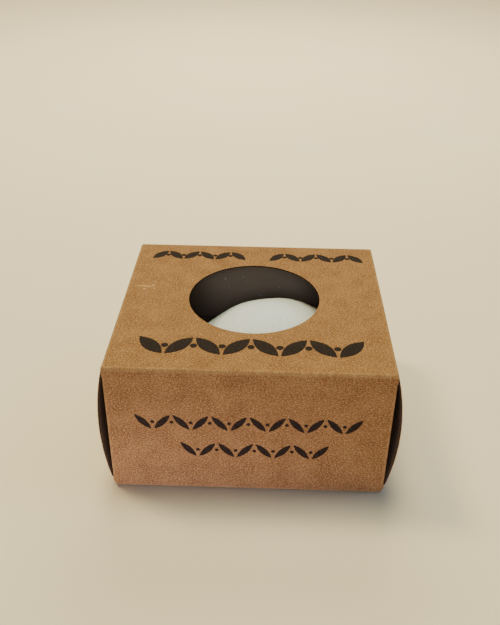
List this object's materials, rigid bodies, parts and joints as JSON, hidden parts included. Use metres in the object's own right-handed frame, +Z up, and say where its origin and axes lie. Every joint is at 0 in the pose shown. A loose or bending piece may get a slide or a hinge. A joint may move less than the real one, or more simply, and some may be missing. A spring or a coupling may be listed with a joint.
{
  "type": "konjac sponge",
  "caption": "Half-ball konjac sponge in a folding carton of kraft board, black inside, with a round window in the top and two ends that open at their creases.",
  "frame": {"origin": "middle of the carton's base, on its underside", "axes": "+X to the right along the front, +Y to the back, +Z up through the window"},
  "size_m": [0.0855, 0.0734, 0.0435],
  "materials": {
    "kraft_board": "uncoated brown kraft board outside, black inside",
    "konjac_foam": "soft white fine-pored konjac foam with a smooth skin",
    "glue": "dried white dispersion glue"
  },
  "bodies": {
    "carton": {"window_panel": "kraft_board", "front_panel": "kraft_board", "bottom_panel": "kraft_board", "back_panel": "kraft_board", "glue_flap": "kraft_board", "glue_line": "glue"},
    "sponge": {"sponge": "konjac_foam"},
    "left_closure": {"left_closure": "kraft_board"},
    "left_tuck_flap": {"left_tuck_flap": "kraft_board"},
    "left_front_dust_flap": {"left_front_dust_flap": "kraft_board"},
    "left_back_dust_flap": {"left_back_dust_flap": "kraft_board"},
    "right_closure": {"right_closure": "kraft_board"},
    "right_tuck_flap": {"right_tuck_flap": "kraft_board"},
    "right_front_dust_flap": {"right_front_dust_flap": "kraft_board"},
    "right_back_dust_flap": {"right_back_dust_flap": "kraft_board"}
  },
  "joints": [
    {"name": "sponge_lift", "type": "slide", "parent": "carton", "child": "sponge", "axis": [0, 0, 1], "range_m": [0, 0.008]},
    {"name": "left_closure_crease", "type": "hinge", "parent": "carton", "child": "left_closure", "pos_m": [-0.03975, 0, 0.04324], "axis": [0, 1, 0], "range_deg": [0, 150]},
    {"name": "left_tuck_crease", "type": "hinge", "parent": "left_closure", "child": "left_tuck_flap", "pos_m": [-0.03975, 0, 0.0011], "axis": [0, -1, 0], "range_deg": [0, 30]},
    {"name": "left_front_dust_crease", "type": "hinge", "parent": "carton", "child": "left_front_dust_flap", "pos_m": [-0.03975, -0.0365, 0.0217], "axis": [0, 0, 1], "range_deg": [0, 90]},
    {"name": "left_back_dust_crease", "type": "hinge", "parent": "carton", "child": "left_back_dust_flap", "pos_m": [-0.03975, 0.0365, 0.0217], "axis": [0, 0, -1], "range_deg": [0, 90]},
    {"name": "right_closure_crease", "type": "hinge", "parent": "carton", "child": "right_closure", "pos_m": [0.03975, 0, 0.04324], "axis": [0, -1, 0], "range_deg": [0, 150]},
    {"name": "right_tuck_crease", "type": "hinge", "parent": "right_closure", "child": "right_tuck_flap", "pos_m": [0.03975, 0, 0.0011], "axis": [0, 1, 0], "range_deg": [0, 30]},
    {"name": "right_front_dust_crease", "type": "hinge", "parent": "carton", "child": "right_front_dust_flap", "pos_m": [0.03975, -0.0365, 0.0217], "axis": [0, 0, -1], "range_deg": [0, 90]},
    {"name": "right_back_dust_crease", "type": "hinge", "parent": "carton", "child": "right_back_dust_flap", "pos_m": [0.03975, 0.0365, 0.0217], "axis": [0, 0, 1], "range_deg": [0, 90]}
  ],
  "couplings": [
    {"joint": "left_tuck_crease", "follows": "left_closure_crease", "ratio": 0.2},
    {"joint": "left_front_dust_crease", "follows": "left_closure_crease", "ratio": 0.6},
    {"joint": "left_back_dust_crease", "follows": "left_closure_crease", "ratio": 0.6},
    {"joint": "right_tuck_crease", "follows": "right_closure_crease", "ratio": 0.2},
    {"joint": "right_front_dust_crease", "follows": "right_closure_crease", "ratio": 0.6},
    {"joint": "right_back_dust_crease", "follows": "right_closure_crease", "ratio": 0.6}
  ]
}
